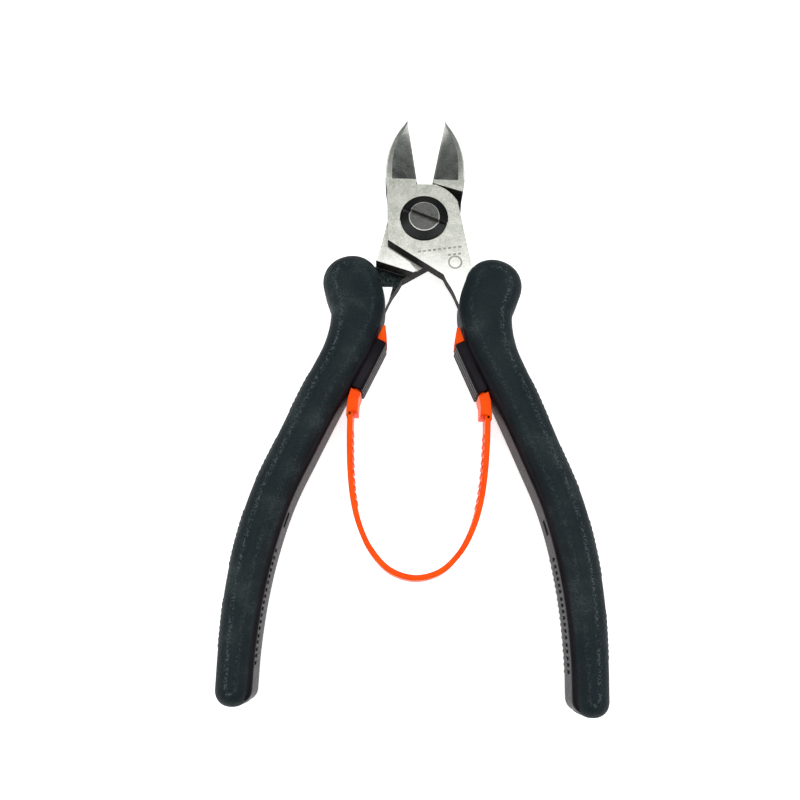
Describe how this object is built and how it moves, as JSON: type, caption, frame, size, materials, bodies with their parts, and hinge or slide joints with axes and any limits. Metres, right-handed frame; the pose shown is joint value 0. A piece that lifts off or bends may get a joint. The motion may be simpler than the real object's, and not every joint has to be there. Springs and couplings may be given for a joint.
{
  "type": "diagonal cutting pliers",
  "caption": "Spring-opened diagonal cutting pliers with a lap joint, slotted pivot screw, curved cushion grips and a plugged-in U-shaped leaf spring.",
  "frame": {"origin": "on the pivot axis, at the flat back face of the joint", "axes": "+Z along the pivot towards the screw head, +Y along the tool towards the jaw tips, +X towards the handle of the front lever"},
  "size_m": [0.0906, 0.151, 0.016],
  "materials": {
    "forged_steel": "satin ground faces with fine grinding lines on the jaw bevels, darker forged side walls",
    "blackened_steel": "blackened, turned face with a worn bright rim",
    "hard_plastic": "moulded, faint purple-grey black, slightly glossy edges",
    "soft_grip": "fine pebbled soft-touch surface, very dark blue-green",
    "grip_pad": "soft pad with fine cross ribs",
    "spring_plastic": "glossy moulded bright orange"
  },
  "bodies": {
    "rear_half": {"rear_lever": "forged_steel", "pivot_screw": "blackened_steel", "pivot_nut": "blackened_steel", "u_spring": "spring_plastic", "left_handle_core": "hard_plastic", "left_grip_cover": "soft_grip", "left_spring_holder": "hard_plastic", "left_grip_pad_1": "grip_pad", "left_grip_pad_2": "grip_pad", "left_grip_pad_3": "grip_pad", "left_grip_pad_4": "grip_pad"},
    "front_half": {"front_lever": "forged_steel", "right_handle_core": "hard_plastic", "right_grip_cover": "soft_grip", "right_spring_holder": "hard_plastic", "right_grip_pad_1": "grip_pad", "right_grip_pad_2": "grip_pad", "right_grip_pad_3": "grip_pad", "right_grip_pad_4": "grip_pad"}
  },
  "joints": [
    {"name": "pivot", "type": "hinge", "parent": "rear_half", "child": "front_half", "pos_m": [0, 0, 0.0045], "axis": [0, 0, -1], "range_deg": [-4, 18.6], "stiffness_Nm_per_rad": 1.4, "deforming": ["u_spring"]}
  ]
}
